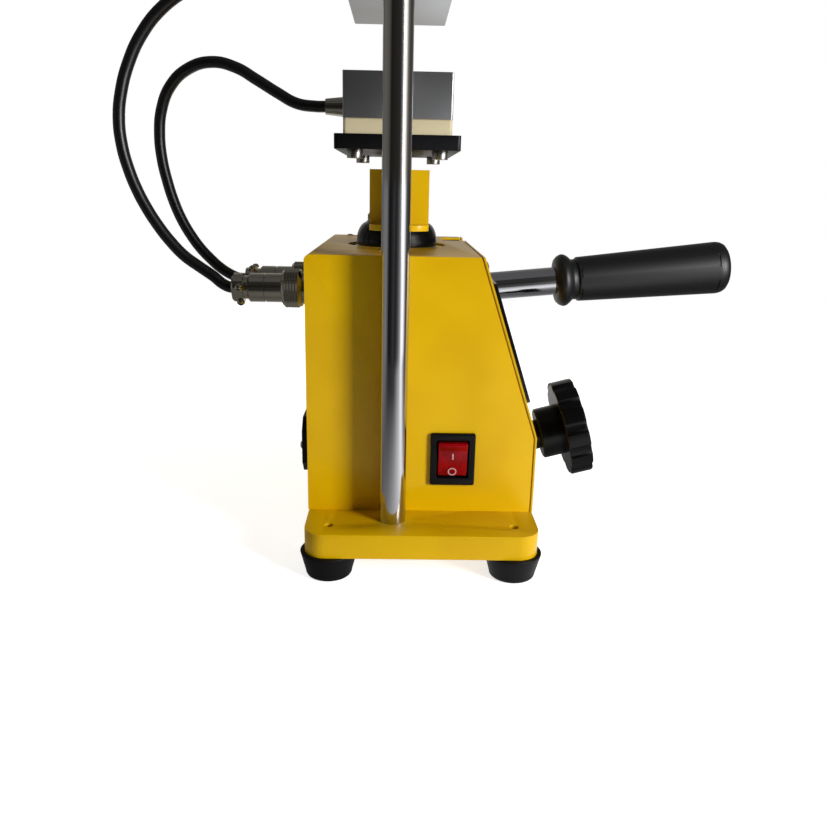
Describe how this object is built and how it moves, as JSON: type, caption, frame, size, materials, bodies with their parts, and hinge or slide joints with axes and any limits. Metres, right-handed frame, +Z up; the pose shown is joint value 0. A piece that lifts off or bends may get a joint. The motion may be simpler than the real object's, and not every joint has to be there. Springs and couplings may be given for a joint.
{
  "type": "hydraulic bench press",
  "caption": "Column-guided bench hydraulic press with heated platens, a hand pump handle, a release knob, return springs and a sloped control panel.",
  "frame": {"origin": "on the underside of the base plate, below the ram's axis; the floor is 15 mm lower, under the rubber feet", "axes": "+Z up along the ram, +X towards the operator, where the handle and the release knob point, +Y towards the operator's right, the handle's side"},
  "size_m": [0.4119, 0.2558, 0.401],
  "materials": {
    "yellow_paint": "orange-peel enamel",
    "black_paint": "gloss enamel",
    "chrome": "polished",
    "steel": "satin zinc",
    "dark_steel": "black oxide",
    "nickel": "nickel plate",
    "platen_metal": "ground",
    "board": "glass-fibre board",
    "foot_rubber": "matt",
    "cable_jacket": "satin",
    "black_plastic": "satin moulded",
    "panel_plastic": "gloss",
    "rocker_red": "translucent gloss",
    "circuit": "solder mask",
    "brass": "turned"
  },
  "bodies": {
    "frame": {"base_plate": "yellow_paint", "rubber_feet": "foot_rubber", "foot_screws": "steel", "left_column": "chrome", "right_column": "chrome", "column_screws": "dark_steel", "column_washers": "steel", "column_nuts": "steel", "crossbeam": "yellow_paint", "beam_screws": "dark_steel", "upper_backing_plate": "dark_steel", "upper_insulator": "board", "upper_heated_plate": "platen_metal", "upper_platen_screws": "steel", "upper_cable_gland": "nickel", "upper_heater_cable": "cable_jacket", "lower_heater_cable": "cable_jacket", "lower_spring_studs": "steel", "return_springs": "steel", "housing_shell": "yellow_paint", "housing_screws": "steel", "front_cover": "yellow_paint", "cover_screws": "steel", "display_panel": "panel_plastic", "control_board": "circuit", "board_spacers": "brass", "rocker_frame": "black_plastic", "power_inlet": "black_plastic", "inlet_screws": "steel", "heater_sockets": "nickel", "left_plug": "nickel", "right_plug": "nickel", "coupling_nuts": "nickel", "clamp_screws": "steel", "jack_foot": "black_paint", "jack_screws": "dark_steel", "jack_tank": "black_paint", "jack_cylinder": "steel", "jack_top_nut": "black_paint", "pump_barrel": "black_paint", "fulcrum_post": "black_paint"},
    "ram_carriage": {"ram": "chrome", "guide_yoke": "yellow_paint", "platen_stem": "steel", "yoke_bolt": "dark_steel", "upper_spring_studs": "steel", "lower_backing_plate": "dark_steel", "lower_insulator": "board", "lower_heated_plate": "platen_metal", "lower_platen_screws": "steel", "lower_cable_gland": "nickel"},
    "pump_handle": {"handle_socket": "dark_steel", "handle_bar": "chrome", "handle_grip": "black_plastic", "pivot_pin": "steel"},
    "pump_plunger": {"pump_piston": "chrome", "piston_pin": "steel"},
    "release_valve": {"valve_stem": "steel", "star_knob": "black_plastic"},
    "rocker": {"rocker_button": "rocker_red"}
  },
  "joints": [
    {"name": "ram_slide", "type": "slide", "parent": "frame", "child": "ram_carriage", "axis": [0, 0, 1], "range_m": [0, 0.043], "stiffness_N_per_m": 400, "springref_m": -0.02, "deforming": ["return_springs", "lower_heater_cable"]},
    {"name": "handle_swing", "type": "hinge", "parent": "frame", "child": "pump_handle", "pos_m": [0.016, 0.061, 0.1216], "axis": [0, -1, 0], "range_deg": [-15, 34]},
    {"name": "pump_stroke", "type": "slide", "parent": "frame", "child": "pump_plunger", "axis": [0, 0, 1], "range_m": [-0.0062, 0.0138]},
    {"name": "release_turn", "type": "hinge", "parent": "frame", "child": "release_valve", "pos_m": [0.0992, 0, 0.0336], "axis": [0.9659, 0, 0.2588], "range_deg": [0, 360]},
    {"name": "rocker_tilt", "type": "hinge", "parent": "frame", "child": "rocker", "pos_m": [0.034, -0.0911, 0.0464], "axis": [-1, 0, 0], "range_deg": [0, 18]}
  ],
  "couplings": [
    {"joint": "pump_stroke", "follows": "handle_swing", "m_per_rad": 0.023}
  ]
}
